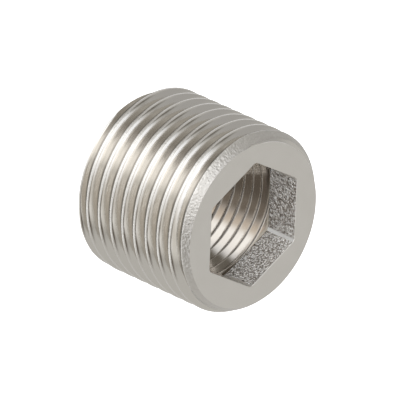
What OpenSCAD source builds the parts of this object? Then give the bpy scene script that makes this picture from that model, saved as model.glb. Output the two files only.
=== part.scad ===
// Headless reducing bushing: a parallel male pipe thread outside, a hexagon
// socket in the front face, and a smaller parallel female pipe thread that
// runs in from the rear. One turned piece, in millimetres.
// It stands on its rear face: the axis is Z and the socket opens upward.

/* [Body] */
// length over both end faces
length = 16.6; // [14:0.1:30]
// how far the front chamfer reaches in from the crests
front_chamfer_r = 1.0275; // [0.5:0.0025:1.35]
// how far the front chamfer reaches back along the axis
front_chamfer_l = 1.2; // [0.6:0.05:1.8]
// size of the 45 degree chamfer on the rear edge
rear_chamfer = 0.45; // [0.2:0.05:0.9]

/* [Male thread] */
// major diameter, over the crests (G 1/2)
male_d = 20.955; // [20.6:0.005:21.4]
// distance from crest to crest (14 to the inch)
male_pitch = 1.814; // [1:0.001:2]
// distance from the front face back to the first groove
male_first = 1.5; // [0.6:0.05:2.4]

/* [Female thread] */
// how much less its major diameter is than the male one (G 1/2 to G 3/8)
thread_step = 4.293; // [4.16:0.001:4.55]
// depth of its grooves, from the hole that they are cut into
female_groove = 0.831; // [0.64:0.001:0.85]
// distance from groove to groove (19 to the inch)
female_pitch = 1.337; // [0.8:0.001:1.5]
// distance from the socket's end back to the first groove, in pitches
female_first = 1.05; // [0.6:0.05:1.5]
// how far past the grooves the mouth of the rear 45 degree lead-in reaches
lead_in_over = 0.169; // [0.02:0.001:0.45]

/* [Hexagon socket] */
// width across flats
hex_af = 12.7; // [12:0.1:13.2]
// diameter that the six corners are rounded to
hex_corner_d = 14.45; // [13.9:0.05:15.2]
// length of the socket, from the front face to the hole behind it
hex_depth = 4; // [3:0.1:6]

/* [Hidden] */
$fn = 96;
metal = "#aaa79f";

// how far a cutter passes the surface that it breaks through
clear = 0.5;

// the 55 degree pipe thread form, as shares of the pitch
form_depth = 0.640327; // crest to root
form_round = 0.137329; // radius of the rounded crest and root
form_turn = 62.5;      // degrees that each rounding turns through
crest_land = 0.05;     // half width of the crest left as turned
root_steps = [0, 20, 42, form_turn]; // turns at the points that draw the root
crest_steps = [form_turn, 48, 34];   // and the crest, up to its land

// height of the socket's end above the rear face
socket_z = length - hex_depth;
// the female thread's major diameter, at the bottom of its grooves, and the
// diameter of its hole, over its crests
female_d = male_d - thread_step;
female_bore_d = female_d - 2 * female_groove;

// The lower half of a groove's section, from its root outward, as
// [distance above the root, distance along the axis] points.
function root_half(pitch) = [
    for (t = root_steps)
        pitch * form_round * [1 - cos(t), sin(t)]
];

// From the flank up to the land on the crest.
function crest_half(pitch) = concat([
    for (t = crest_steps)
        pitch * [form_depth - form_round * (1 - cos(t)),
                 0.5 - form_round * sin(t)]
], [pitch * [form_depth, 0.5 - crest_land]]);

// Turns one groove about the axis at height z. Its half section starts at
// the root radius, and side is 1 where the groove opens outward, -1 inward.
module ring_groove(z, root_r, half, side) {
    mouth = [half[len(half) - 1][0] + clear, half[len(half) - 1][1]];
    line = concat(half, [mouth]);
    n = len(line);
    translate([0, 0, z])
    rotate_extrude()
        polygon(concat(
            [for (p = line) [root_r + side * p[0], p[1]]],
            [for (i = [n - 1:-1:1]) [root_r + side * line[i][0], -line[i][1]]]
        ));
}

// The outer shape before threading, with its two chamfers.
module blank() {
    rotate_extrude()
        polygon([
            [0, 0], [male_d / 2 - rear_chamfer, 0],
            [male_d / 2, rear_chamfer],
            [male_d / 2, length - front_chamfer_l],
            [male_d / 2 - front_chamfer_r, length], [0, length]
        ]);
}

// Grooves a pitch apart over the whole length, through both chamfers.
module male_grooves() {
    half = concat(root_half(male_pitch), crest_half(male_pitch));
    for (z = [length - male_first:-male_pitch:-male_pitch / 2])
        ring_groove(z, male_d / 2 - form_depth * male_pitch, half, 1);
}

// The hole behind the socket, its lead-in at the rear, and its grooves.
module female_thread() {
    root = root_half(female_pitch);
    flank_foot = root[len(root) - 1];
    half = concat(root, [[
        female_groove,
        flank_foot[1] + (female_groove - flank_foot[0]) * tan(90 - form_turn)
    ]]);
    lead_in = female_groove + lead_in_over;

    translate([0, 0, -clear])
        cylinder(d = female_bore_d, h = socket_z + clear);
    translate([0, 0, -clear])
        cylinder(d1 = female_bore_d + 2 * (lead_in + clear),
                 d2 = female_bore_d, h = lead_in + clear);
    for (z = [socket_z - female_first * female_pitch:-female_pitch:0])
        ring_groove(z, female_d / 2, half, -1);
}

// A hexagon with its corners rounded to one circle. The hole behind it is
// wider, so its walls end free.
module hexagon_socket() {
    depth = hex_depth + 2 * clear;
    translate([0, 0, socket_z - clear])
    intersection() {
        cylinder(d = hex_af / cos(30), h = depth, $fn = 6);
        cylinder(d = hex_corner_d, h = depth);
    }
}

module reducing_bushing() {
    color(metal)
    difference() {
        blank();
        male_grooves();
        female_thread();
        hexagon_socket();
    }
}

reducing_bushing();
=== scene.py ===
import math

import bmesh
import bpy
from mathutils import Matrix, Vector


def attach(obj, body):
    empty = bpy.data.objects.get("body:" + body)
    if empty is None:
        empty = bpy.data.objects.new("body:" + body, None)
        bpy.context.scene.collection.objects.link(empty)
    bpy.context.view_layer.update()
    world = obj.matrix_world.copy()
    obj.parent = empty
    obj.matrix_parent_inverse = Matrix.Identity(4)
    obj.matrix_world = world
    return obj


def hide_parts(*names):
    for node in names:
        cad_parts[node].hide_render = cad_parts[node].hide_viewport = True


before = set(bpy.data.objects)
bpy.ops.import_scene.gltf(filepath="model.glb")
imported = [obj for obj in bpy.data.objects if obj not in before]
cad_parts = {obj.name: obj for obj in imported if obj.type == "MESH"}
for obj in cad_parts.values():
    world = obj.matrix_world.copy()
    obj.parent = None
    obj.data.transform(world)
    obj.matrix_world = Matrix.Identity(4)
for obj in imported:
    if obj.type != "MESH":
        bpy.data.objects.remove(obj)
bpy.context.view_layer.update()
MM = 0.001

# ## Viewpoint
# The bushing stands on its rear face, and the camera looks down on it from the
# socket's side. The camera is rolled, so that the axis leans to the right and
# down in the picture. It is far away behind a long lens.
FRAME_WIDTH = 400  # pixels
SENSOR_WIDTH = 36  # in millimetres, as a lens is
LENGTH = 16.6 * MM
VIEW_TILT = math.radians(49.77)  # between the axis and the line of sight
VIEW_ROLL = math.radians(24.42)  # of the axis in the picture, below the horizontal
VIEW_SPIN = math.radians(32.23)  # from the picture's upper edge round to +X
VIEW_FAR = 1045 * MM             # from the lens to the middle of the front face
PIXEL = MM / 9.347               # size of a pixel out there
FRONT_AT = (53.3, 25.1)          # the front face's middle, in pixels from the frame's middle

axis = Vector((
    math.sin(VIEW_TILT) * math.cos(VIEW_ROLL),
    -math.sin(VIEW_TILT) * math.sin(VIEW_ROLL),
    math.cos(VIEW_TILT),
))
upper = axis.cross(Vector((0, 0, -1))).normalized()
facing = axis.cross(upper)
side_x = math.cos(VIEW_SPIN) * upper + math.sin(VIEW_SPIN) * facing
side_y = -math.sin(VIEW_SPIN) * upper + math.cos(VIEW_SPIN) * facing
turn = Matrix((side_x, side_y, axis))
front_centre = Vector((FRONT_AT[0] * PIXEL, -FRONT_AT[1] * PIXEL, -VIEW_FAR))
rear_centre = front_centre - LENGTH * axis

camera = bpy.data.objects.new("camera", bpy.data.cameras.new("camera"))
bpy.context.scene.collection.objects.link(camera)
camera.matrix_world = Matrix.Translation(turn @ -rear_centre) @ turn.to_4x4()
camera.data.sensor_width = SENSOR_WIDTH
camera.data.lens = SENSOR_WIDTH * VIEW_FAR / (FRAME_WIDTH * PIXEL)
camera.data.clip_start = 0.1
camera.data.clip_end = 10
bpy.context.scene.camera = camera

# ## Threads
# The male pipe thread is cut over the whole outside, the female one runs in
# from the rear. Both are right hand, with the rounded 55 degree form that
# polishing has softened, and run out through the chamfers at their ends.
COLUMNS = 216  # of mesh points, round the bushing
SIDES = 6  # of the hexagon socket, whose corners the columns meet
CORNER_CROWDING = 0.6  # how much closer the columns stand at those corners
CROWDING = 0.5  # how much closer the rows lie at crest and root than on the flanks
SETTLED = 0.01 * MM  # a row this near to an end face lies on it
MERGED = 1e-6  # points this near are one


class Wire:
    """A socket in a node tree. Arithmetic on it adds the Math nodes."""

    def __init__(self, tree, socket=None):
        self.tree = tree
        self.socket = socket

    def node(self, kind, settings=None, inputs=None, out=0):
        """A new node with these settings and inputs, as a Wire on one of its outputs."""
        made = self.tree.nodes.new(kind)
        for name, value in (settings or {}).items():
            setattr(made, name, value)
        for key, value in (inputs or {}).items():
            if isinstance(value, Wire):
                self.tree.links.new(value.socket, made.inputs[key])
            else:
                made.inputs[key].default_value = value
        return Wire(self.tree, made.outputs[out] if made.outputs else None)

    def beside(self, name):
        """Another output of the node that this socket is on."""
        return Wire(self.tree, self.socket.node.outputs[name])

    def math(self, operation, *others):
        inputs = dict(enumerate((self, *others)))
        return self.node("ShaderNodeMath", {"operation": operation}, inputs)

    def __add__(self, other):
        return self.math("ADD", other)

    def __sub__(self, other):
        return self.math("SUBTRACT", other)

    def __mul__(self, other):
        return self.math("MULTIPLY", other)

    def __truediv__(self, other):
        return self.math("DIVIDE", other)

    def __rsub__(self, other):
        return self.node("ShaderNodeMath", {"operation": "SUBTRACT"}, {0: other, 1: self})

    __radd__ = __add__
    __rmul__ = __mul__


def thread_tree():
    """The skin of one thread: a grid, rolled up, whose rows follow the helix.

    Side is 1 for a male thread and -1 for a female one. The form is counted
    from Major Radius inward, so a female thread's crest is its groove's bottom.
    """
    tree = bpy.data.node_groups.new("pipe_thread", "GeometryNodeTree")
    tree.interface.new_socket(name="Geometry", in_out="INPUT", socket_type="NodeSocketGeometry")
    for name in (
        "Side", "Pitch", "Crest Rounding", "Root Rounding", "Flank Turn",
        "Major Radius", "Stock Radius", "First Crest",
        "Low End", "Low Radius", "Low Slope", "High End", "High Radius", "High Slope",
    ):
        tree.interface.new_socket(name=name, in_out="INPUT", socket_type="NodeSocketFloat")
    for name in ("Columns", "Rows per Pitch"):
        tree.interface.new_socket(name=name, in_out="INPUT", socket_type="NodeSocketInt")
    tree.interface.new_socket(name="Finish", in_out="INPUT", socket_type="NodeSocketMaterial")
    tree.interface.new_socket(name="Geometry", in_out="OUTPUT", socket_type="NodeSocketGeometry")

    start = Wire(tree)
    given = start.node("NodeGroupInput")
    side = given.beside("Side")
    pitch = given.beside("Pitch")
    first = given.beside("First Crest")
    low = given.beside("Low End")
    high = given.beside("High End")

    turns = ((high - low) / pitch).math("CEIL") + 2
    sheet = start.node("GeometryNodeMeshGrid", None, {
        "Size X": 1.0, "Size Y": 1.0,
        "Vertices X": given.beside("Columns") + 1,
        "Vertices Y": turns * given.beside("Rows per Pitch") + 1,
    })
    place = start.node("GeometryNodeInputPosition")
    across = place.node("ShaderNodeSeparateXYZ", None, {0: place})
    even = across + 0.5
    turned = even - (even * SIDES * math.tau).math("SINE") * (CORNER_CROWDING / SIDES / math.tau)
    along = (across.beside("Y") + 0.5) * turns
    crowded = along - (along * 2 * math.tau).math("SINE") * (CROWDING / 2 / math.tau)
    lowest = ((low - first) / pitch).math("FLOOR") - 1
    height = first + pitch * (lowest + crowded + turned)
    height = low + (height - low) * (height - low).math("GREATER_THAN", SETTLED)
    height = high - (high - height) * (high - height).math("GREATER_THAN", SETTLED)

    # how far from a crest, in pitches, and how deep the form is there
    phase = (height - first) / pitch - turned
    away = (phase - (phase + 0.5).math("FLOOR")).math("ABSOLUTE")

    flank_turn = given.beside("Flank Turn")
    sine = flank_turn.math("SINE")

    def rounding(distance, radius):
        """How far a rounding has fallen away at a distance from its top."""
        near = distance.math("MINIMUM", radius * sine)
        return radius - (radius * radius - near * near).math("MAXIMUM", 0.0).math("SQRT")

    crest_round = given.beside("Crest Rounding")
    root_round = given.beside("Root Rounding")
    crest_edge = crest_round * sine
    root_edge = root_round * sine
    crest = rounding(away, crest_round)
    flank = (away - crest_edge).math("MAXIMUM", 0.0).math("MINIMUM", 0.5 - crest_edge - root_edge)
    root = root_round * (1 - flank_turn.math("COSINE")) - rounding(0.5 - away, root_round)
    depth = pitch * (crest + flank * flank_turn.math("TANGENT") + root)

    # the blank that the form is cut into: its cylinder and the cone at each end
    radius = (given.beside("Major Radius") - depth) * side
    for limit in (
        given.beside("Stock Radius"),
        given.beside("Low Radius") + (height - low) * given.beside("Low Slope"),
        given.beside("High Radius") + (high - height) * given.beside("High Slope"),
    ):
        radius = radius.math("MINIMUM", limit * side)
    radius = radius * side
    angle = turned * math.tau
    rolled = start.node("ShaderNodeCombineXYZ", None, {
        0: radius * angle.math("COSINE"), 1: radius * angle.math("SINE"), 2: height,
    })
    skin = start.node("GeometryNodeSetPosition", None, {"Geometry": sheet, "Position": rolled})
    skin = start.node("GeometryNodeMergeByDistance", None, {"Geometry": skin, "Distance": MERGED})
    inward = side.node("FunctionNodeCompare", {"operation": "LESS_THAN"}, {0: side, 1: 0.0})
    skin = start.node("GeometryNodeFlipFaces", None, {"Mesh": skin, "Selection": inward})
    skin = start.node("GeometryNodeRealizeInstances", None, {"Geometry": skin})
    skin = start.node(
        "GeometryNodeSetMaterial", None, {"Geometry": skin, "Material": given.beside("Finish")}
    )
    start.node("NodeGroupOutput", None, {"Geometry": skin})
    return tree


def thread_skin(tree, name, finish, sizes):
    """The tree's result for these sizes, as a plain mesh in one finish."""
    holder = bpy.data.objects.new(name, bpy.data.meshes.new(name))
    bpy.context.scene.collection.objects.link(holder)
    cut = holder.modifiers.new("thread", "NODES")
    cut.node_group = tree
    for socket in tree.interface.items_tree:
        if socket.in_out == "INPUT" and socket.name in sizes:
            cut[socket.identifier] = sizes[socket.name]
    shape = bpy.data.meshes.new_from_object(
        holder.evaluated_get(bpy.context.evaluated_depsgraph_get())
    )
    bpy.data.objects.remove(holder)
    shape.polygons.foreach_set("material_index", [finish] * len(shape.polygons))
    return shape


POLISHED, TURNED, BROACHED, TAPPED = range(4)  # the finishes, in the mesh's order
polished = bpy.data.materials.new("polished_thread")
tapped = bpy.data.materials.new("tapped_thread")
pipe_thread = thread_tree()

MALE_RADIUS = 20.955 / 2 * MM
MALE_PITCH = 1.814 * MM
MALE_CREST = 14.26 * MM - MALE_PITCH * 62.77 / 360  # over +X, read 62.77 degrees on
FRONT_RADIUS = 18.9 / 2 * MM
FRONT_CHAMFER = 1.2 * MM
FRONT_SLOPE = (MALE_RADIUS - FRONT_RADIUS) / FRONT_CHAMFER
REAR_CHAMFER = 0.45 * MM
outside = thread_skin(pipe_thread, "male_thread", POLISHED, {
    "Side": 1.0, "Pitch": MALE_PITCH,
    "Crest Rounding": 0.16, "Root Rounding": 0.10, "Flank Turn": math.radians(60),
    "Major Radius": MALE_RADIUS, "Stock Radius": MALE_RADIUS, "First Crest": MALE_CREST,
    "Low End": 0.0, "Low Radius": MALE_RADIUS - REAR_CHAMFER, "Low Slope": 1.0,
    "High End": LENGTH, "High Radius": FRONT_RADIUS, "High Slope": FRONT_SLOPE,
    "Columns": COLUMNS, "Rows per Pitch": 24, "Finish": polished,
})

BORE_RADIUS = 15.0 / 2 * MM
GROOVE_RADIUS = BORE_RADIUS + 0.696 * MM
FEMALE_PITCH = 1.337 * MM
FEMALE_GROOVE = 10.82 * MM - FEMALE_PITCH * 240 / 360  # over +X, read 240 degrees on
LEAD_IN_RADIUS = 8.5 * MM
SOCKET_Z = LENGTH - 4.0 * MM  # where the hole ends at the socket
inside = thread_skin(pipe_thread, "female_thread", TAPPED, {
    "Side": -1.0, "Pitch": FEMALE_PITCH,
    "Crest Rounding": 0.02, "Root Rounding": 0.05, "Flank Turn": math.radians(48),
    "Major Radius": GROOVE_RADIUS, "Stock Radius": BORE_RADIUS, "First Crest": FEMALE_GROOVE,
    "Low End": 0.0, "Low Radius": LEAD_IN_RADIUS, "Low Slope": -1.0,
    "High End": SOCKET_Z, "High Radius": BORE_RADIUS, "High Slope": -1.0,
    "Columns": COLUMNS, "Rows per Pitch": 20, "Finish": tapped,
})

# ## Front face and hexagon socket
# The front face is turned flat on a web, and the hexagon goes through it. The
# hole behind the web is wider than the hexagon, so the socket's walls end free.
HEX_APOTHEM = 12.7 / 2 * MM
HEX_CORNER = 14.45 / 2 * MM
RIM = 0.04 * MM  # the broken edge round the mouth of the hexagon
BESIDE_EDGE = 0.05 * MM  # how far from an edge the ring of points that keeps it crisp is
WALL_RINGS = 26


def column_turn(column):
    """Where a column stands, in turns from +X. The thread's grid has the same spacing."""
    even = column / COLUMNS
    return even - CORNER_CROWDING / SIDES / math.tau * math.sin(SIDES * math.tau * even)


TURNS = [column_turn(c) for c in range(COLUMNS)]


def edge_of(skin, height):
    """The radii of a skin's end, one for each column."""
    radii = [0.0] * COLUMNS
    for point in skin.vertices:
        if abs(point.co.z - height) < MERGED:
            at = math.atan2(point.co.y, point.co.x) / math.tau
            nearest = min(range(COLUMNS), key=lambda c: abs((TURNS[c] - at + 0.5) % 1 - 0.5))
            radii[nearest] = math.hypot(point.co.x, point.co.y)
    return radii


def hexagon(turn):
    """The socket's radius in a direction, with a corner over +X."""
    from_flat = (turn * SIDES % 1 - 0.5) * math.tau / SIDES
    return min(HEX_APOTHEM / math.cos(from_flat), HEX_CORNER)


outer_front = edge_of(outside, LENGTH)
outer_rear = edge_of(outside, 0)
inner_front = edge_of(inside, SOCKET_Z)
inner_rear = edge_of(inside, 0)
mouth = [hexagon(turn) for turn in TURNS]


def level(radii, z, add=0.0):
    """A ring at one height, with something added to its radii."""
    return [(r + add, z) for r in radii]


def between(first, second, share, z):
    """A ring that lies between two others."""
    return [(a + (b - a) * share, z) for a, b in zip(first, second)]


# the face, its rim round the hexagon, the socket's wall and the web's back
rings = [
    level(outer_front, LENGTH),
    level(outer_front, LENGTH, -BESIDE_EDGE),
    between(outer_front, mouth, 0.35, LENGTH),
    between(outer_front, mouth, 0.7, LENGTH),
    level(mouth, LENGTH, 2 * RIM),
    level(mouth, LENGTH, RIM),
    level(mouth, LENGTH - 0.3 * RIM, 0.3 * RIM),
    level(mouth, LENGTH - RIM),
]
face_rings = len(rings) - 1
rings.append(level(mouth, LENGTH - 2 * RIM))
for k in range(1, WALL_RINGS + 1):
    rings.append(level(mouth, LENGTH - RIM + (SOCKET_Z - LENGTH + RIM) * k / WALL_RINGS))
wall_rings = len(rings) - 1
rings += [
    level(mouth, SOCKET_Z, RIM),
    level(inner_front, SOCKET_Z, -BESIDE_EDGE),
    level(inner_front, SOCKET_Z),
]
rear_rings = [
    level(inner_rear, 0.0),
    level(inner_rear, 0.0, BESIDE_EDGE),
    level(outer_rear, 0.0, -BESIDE_EDGE),
    level(outer_rear, 0.0),
]


def band(rings):
    """Points and quads of neighbouring rings."""
    points = [
        (r * math.cos(math.tau * TURNS[c]), r * math.sin(math.tau * TURNS[c]), z)
        for ring in rings
        for c, (r, z) in enumerate(ring)
    ]
    quads = []
    for k in range(len(rings) - 1):
        for c in range(COLUMNS):
            beside = (c + 1) % COLUMNS
            here, after = k * COLUMNS, (k + 1) * COLUMNS
            quads.append((here + c, here + beside, after + beside, after + c))
    return points, quads


points, quads = band(rings)
front = bpy.data.meshes.new("front")
front.from_pydata(points, [], quads)
front.polygons.foreach_set("material_index", [
    BROACHED if face_rings * COLUMNS <= k < wall_rings * COLUMNS else TURNED
    for k in range(len(quads))
])
points, quads = band(rear_rings)
rear = bpy.data.meshes.new("rear")
rear.from_pydata(points, [], quads)
rear.polygons.foreach_set("material_index", [TURNED] * len(quads))

# ## The whole bushing
# One piece of turned brass: the two threads, the front with its socket and the
# rear ring meet in the same points. Its turned faces end in sharp edges.
bushing_mesh = bpy.data.meshes.new("bushing")
joined = bmesh.new()
for part in (outside, inside, front, rear):
    joined.from_mesh(part)
bmesh.ops.remove_doubles(joined, verts=joined.verts, dist=MERGED)
bmesh.ops.dissolve_degenerate(joined, edges=joined.edges, dist=MERGED / 10)
for face in joined.faces:
    face.smooth = True
for edge in joined.edges:
    finishes = {face.material_index for face in edge.link_faces}
    edge.smooth = not (TURNED in finishes and finishes & {POLISHED, TAPPED})
joined.to_mesh(bushing_mesh)
joined.free()
bushing = bpy.data.objects.new("bushing", bushing_mesh)
bpy.context.scene.collection.objects.link(bushing)
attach(bushing, "root")
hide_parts("reducing_bushing")

# ## Nickel plating
# The bushing is plated all over. Below the plating each surface keeps the
# marks of what made it: the die, the lathe, the blast, the tap and the broach.
NICKEL = (0.67, 0.64, 0.59)
# a dark colour, laid over the nickel as painted shade at the bottom of the grooves, and lightly
# over the blasted chamfer
PAINTED_DARK = (0.07, 0.06, 0.05)


def nickel(finish):
    """Starts a finish in nickel, and gives back its object coordinates and its shader."""
    finish.use_nodes = True
    shader = finish.node_tree.nodes["Principled BSDF"]
    shader.inputs["Base Color"].default_value = (*NICKEL, 1)
    shader.inputs["Metallic"].default_value = 1.0
    place = Wire(finish.node_tree).node("ShaderNodeTexCoord", out="Object")
    return place, shader


def grain(place, scale, detail=2.0):
    """Noise about 0.5, with features of 1 / scale metres."""
    return place.node("ShaderNodeTexNoise", None, {
        "Vector": place, "Scale": scale, "Detail": detail,
    })


def between_values(share, low, high):
    """From low, where the share is 0, to high, where it is 1."""
    return share.node("ShaderNodeMapRange", None, {0: share, 1: 0.0, 2: 1.0, 3: low, 4: high})


def relief(shader, height, depth):
    """Raises the surface by height, a share of depth in metres."""
    bump = height.node("ShaderNodeBump", None, {"Height": height, "Distance": depth})
    shader.id_data.links.new(bump.socket, shader.inputs["Normal"])


def feed(shader, name, wire):
    shader.id_data.links.new(wire.socket, shader.inputs[name])


def off_axis(place):
    """How far from the axis a point is, how high, and in which direction."""
    parts = place.node("ShaderNodeSeparateXYZ", None, {0: place})
    radius = (parts * parts + parts.beside("Y") * parts.beside("Y")).math("SQRT")
    return radius, parts.beside("Z"), parts.beside("Y").math("ARCTAN2", parts)


def tool_marks(radius, height, direction):
    """A fine grain, drawn out so that it runs round the part."""
    drawn_out = radius.node(
        "ShaderNodeCombineXYZ", None, {0: direction * 0.0002, 1: radius, 2: height}
    )
    return grain(drawn_out, 16000.0, 3.0)


def step(value, start, end):
    """0 below start, 1 above end, and smooth between them."""
    return value.node(
        "ShaderNodeMapRange", {"interpolation_type": "SMOOTHSTEP"},
        {0: value, 1: start, 2: end, 3: 0.0, 4: 1.0},
    )


def laid_over(under, share, over):
    """A colour, or the colours so far, with another laid over it by a share."""
    if not isinstance(under, Wire):
        under = (*under, 1)
    inputs = {0: share, 6: under, 7: (*over, 1)}
    return share.node("ShaderNodeMix", {"data_type": "RGBA"}, inputs, 2)


# the male thread is polished on its flanks, worn to a satin on its crests and
# blasted where it meets the front chamfer; its colour holds painted shade at the
# bottom of its grooves and is a little darker on the blasted chamfer
ROOT_RADIUS = MALE_RADIUS - 1.10 * MM
GROOVE_SHADE = 0.72
CHAMFER_DARKENING = 0.12
POLISH = (0.02, 0.14)  # roughness where it is clean and where it is soiled
BLASTED_ROUGHNESS = 0.26
WORN_ROUGHNESS = 0.18
BLAST_DEPTH = 0.09 * MM
WORN_RELIEF = 0.16  # as shares of that depth
MARKS_RELIEF = 0.05
place, shader = nickel(polished)
radius, height, direction = off_axis(place)
cone = (LENGTH - height) * FRONT_SLOPE + FRONT_RADIUS
blasted = 1 - step((radius - cone).math("ABSOLUTE"), 0.01 * MM, 0.05 * MM)
crest = step(radius, MALE_RADIUS - 0.16 * MM, MALE_RADIUS - 0.06 * MM)
chamfered = step(height, LENGTH - FRONT_CHAMFER - 0.3 * MM, LENGTH - FRONT_CHAMFER + 0.1 * MM)
# painted shade: near the root of the grooves, away from the chamfer, the colour is darkened
shaded_groove = (1 - step(radius, ROOT_RADIUS + 0.06 * MM, ROOT_RADIUS + 0.28 * MM)) * (1 - chamfered)
pebbles = grain(place, 3800.0) - 0.5
soiled = grain(place, 450.0, 4.0)
# how far the colour is darkened: painted shade in the grooves, and a little on the blasted
# chamfer
painted_darkening = shaded_groove * GROOVE_SHADE + blasted * CHAMFER_DARKENING
feed(shader, "Base Color", laid_over(NICKEL, painted_darkening, PAINTED_DARK))
satin = blasted * BLASTED_ROUGHNESS + crest * WORN_ROUGHNESS
feed(shader, "Roughness", between_values(soiled, *POLISH) + satin)
marks = tool_marks(radius, height, direction) * MARKS_RELIEF
relief(shader, marks + pebbles * (blasted + crest * WORN_RELIEF), BLAST_DEPTH)

# the tapped hole, whose nickel is painted darker and browner than the outside as
# shade inside the hole, with a tone that varies at random, and painted dark at the
# bottom of its grooves as shade
# darker copies of the nickel, painted in as the shade inside the hole
SHADED_NICKEL = (0.46, 0.41, 0.36)
SHADED_WARM_NICKEL = (0.58, 0.54, 0.48)
TAPPED_GROOVE_SHADE = 0.85
TAP_MARKS = 0.004 * MM
place, shader = nickel(tapped)
radius, height, direction = off_axis(place)
tone = laid_over(SHADED_NICKEL, grain(place, 500.0, 3.0), SHADED_WARM_NICKEL)
# painted shade: the colour is darkened at the bottom of the grooves, out at the groove's radius
painted_darkening = step(radius, GROOVE_RADIUS - 0.106 * MM, GROOVE_RADIUS - 0.006 * MM) * TAPPED_GROOVE_SHADE
feed(shader, "Base Color", laid_over(tone, painted_darkening, PAINTED_DARK))
shader.inputs["Roughness"].default_value = 0.08
relief(shader, tool_marks(radius, height, direction), TAP_MARKS)

# a fine satin on the turned faces
FACE_SATIN = (0.26, 0.40)
FACE_DEPTH = 0.008 * MM
face_finish = bpy.data.materials.new("turned_face")
place, shader = nickel(face_finish)
feed(shader, "Roughness", between_values(grain(place, 700.0, 3.0), *FACE_SATIN))
relief(shader, grain(place, 9000.0), FACE_DEPTH)

# the socket's walls are as rough as a casting, with painted glints and painted
# shade in their pits laid into the colour, and the tool has rubbed the corners
# smooth, which are painted bright as a highlight
PAINTED_PIT_SHADE = (0.36, 0.32, 0.28)
PAINTED_GLINT = (0.94, 0.92, 0.88)
WALL_GLOSS = 0.05
RUBBED_ROUGHNESS = 0.48
WALL_DEPTH = 0.32 * MM
wall_finish = bpy.data.materials.new("broached_wall")
place, shader = nickel(wall_finish)
# the rubbed corners: smoother and less bumpy, and painted bright as a highlight
rubbed_corner_highlight = step(off_axis(place)[0], HEX_CORNER - 0.04 * MM, HEX_CORNER - 0.01 * MM)
pebbles = grain(place, 4800.0)
# painted glints on the pebbles' tops and a painted highlight on the rubbed corners; the rest is
# painted shade
painted_glints = step(pebbles, 0.36, 0.60).math("MAXIMUM", rubbed_corner_highlight)
feed(shader, "Base Color", laid_over(PAINTED_PIT_SHADE, painted_glints, PAINTED_GLINT))
feed(shader, "Roughness", rubbed_corner_highlight * RUBBED_ROUGHNESS + WALL_GLOSS)
relief(shader, (pebbles - 0.5) * (1 - rubbed_corner_highlight), WALL_DEPTH)

for finish in (polished, face_finish, wall_finish, tapped):
    bushing_mesh.materials.append(finish)

# ## Floor and light
# A plain white floor, lit from inside so that no shadow shows on it, and a
# studio of large soft panels, rails and dark cards all round. The polished metal
# mirrors them, and what lies below it too, so it doesn't mirror the floor.
WHITE = (1, 1, 1)
floor_mesh = bpy.data.meshes.new("floor")
corners = [(-1, -1, 0), (1, -1, 0), (1, 1, 0), (-1, 1, 0)]
floor_mesh.from_pydata(corners, [], [(0, 1, 2, 3)])
floor = bpy.data.objects.new("floor", floor_mesh)
bpy.context.scene.collection.objects.link(floor)
floor.visible_glossy = False
paper = bpy.data.materials.new("paper")
paper.use_nodes = True
paper_shader = paper.node_tree.nodes["Principled BSDF"]
paper_shader.inputs["Base Color"].default_value = (0.9, 0.9, 0.9, 1)
paper_shader.inputs["Roughness"].default_value = 0.9
paper_shader.inputs["Emission Color"].default_value = (*WHITE, 1)
paper_shader.inputs["Emission Strength"].default_value = 1.0
floor_mesh.materials.append(paper)

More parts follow.
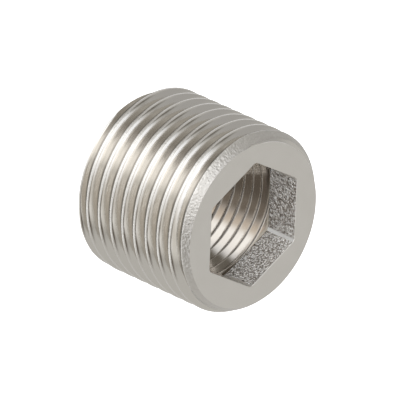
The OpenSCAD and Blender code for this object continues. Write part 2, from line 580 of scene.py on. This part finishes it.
# name: azimuths from and to, heights above the horizon from and to, how soft
# the edges are across and upward (all in degrees), and the light; a panel lies
# over those above it in the list
ROOM = (0.63, 0.63, 0.62)
PANELS = {
    "ceiling": (0, 360, 62, 95, 16, 16, (1.80, 1.85, 1.98)),
    "ceiling rim": (60, 165, 55, 78, 20, 20, (0.78, 0.76, 0.72)),
    "key, upper part": (20, 85, 27, 75, 30, 30, (1.42, 1.46, 1.54)),
    "side, upper part": (70, 145, 45, 60, 20, 20, (1.20, 1.22, 1.24)),
    "side": (65, 135, 2, 20, 16, 16, (1.32, 1.37, 1.46)),
    "warm wall": (70, 150, -22, -8, 8, 8, (0.76, 0.73, 0.69)),
    "low strip": (70, 145, -40, -20, 8, 8, (1.85, 1.90, 2.00)),
    "low key": (10, 85, -64, -26, 16, 16, (1.62, 1.68, 1.77)),
    "key": (22, 64, -22, 28, 28, 28, (2.35, 2.40, 2.50)),
    "dark card": (330, 380, 4, 32, 14, 14, (0.68, 0.68, 0.68)),
    "low dark card": (345, 393, -25, -16, 20, 20, (0.25, 0.22, 0.20)),
    "back": (335, 385, 39, 67, 26, 26, (1.30, 1.36, 1.46)),
    "dark side": (277, 312, -5, 50, 16, 16, (0.50, 0.50, 0.50)),
    "low fill": (275, 345, -33, -13, 6, 6, (1.02, 1.04, 1.10)),
    "dark floor": (120, 350, -95, -50, 16, 16, (0.00, 0.00, 0.00)),
    "backdrop": (155, 250, -60, 5, 20, 20, (0.70, 0.70, 0.70)),
    "bottom": (0, 360, -96, -72, 12, 12, (0.55, 0.55, 0.56)),
    "bright rail": (2, 50, 46, 61, 14, 8, (1.70, 1.75, 1.82)),
    "warm rail": (44, 72, 46, 62, 22, 8, (0.95, 0.87, 0.78)),
    "dark rail": (68, 122, 47, 61, 30, 8, (0.26, 0.23, 0.20)),
    "dark rail's end": (100, 160, 34, 53, 20, 8, (0.16, 0.14, 0.12)),
    "low rail": (-48, -8, 34, 51, 14, 8, (0.21, 0.20, 0.18)),
}

world = bpy.data.worlds.new("studio")
world.use_nodes = True
world.node_tree.nodes.clear()
studio = Wire(world.node_tree)
sight = studio.node("ShaderNodeTexCoord")
sight = sight.node("ShaderNodeSeparateXYZ", None, {0: sight})
azimuth = sight.beside("Y").math("ARCTAN2", sight.beside("X")).math("DEGREES")
elevation = sight.beside("Z").math("ARCSINE").math("DEGREES")


def within(away, half, soft):
    """1 inside a panel's half width, falling to 0 over its soft edge."""
    return away.node(
        "ShaderNodeMapRange", {"interpolation_type": "SMOOTHSTEP"},
        {0: away, 1: half + soft / 2, 2: half - soft / 2, 3: 0.0, 4: 1.0},
    )


light = ROOM
for left, right, low, high, soft, soft_up, shade in PANELS.values():
    upward = (elevation - (low + high) / 2).math("ABSOLUTE")
    panel = within(upward, (high - low) / 2, soft_up)
    if right - left < 360:
        across = (azimuth - (left + right) / 2).math("WRAP", 180.0, -180.0).math("ABSOLUTE")
        panel = panel * within(across, (right - left) / 2, soft)
    light = laid_over(light, panel, shade)
light = laid_over(light, studio.node("ShaderNodeLightPath"), WHITE)  # all that the camera sees
backdrop = studio.node("ShaderNodeBackground", None, {"Color": light})
studio.node("ShaderNodeOutputWorld", None, {"Surface": backdrop})
bpy.context.scene.world = world
bpy.context.scene.view_settings.view_transform = "Standard"
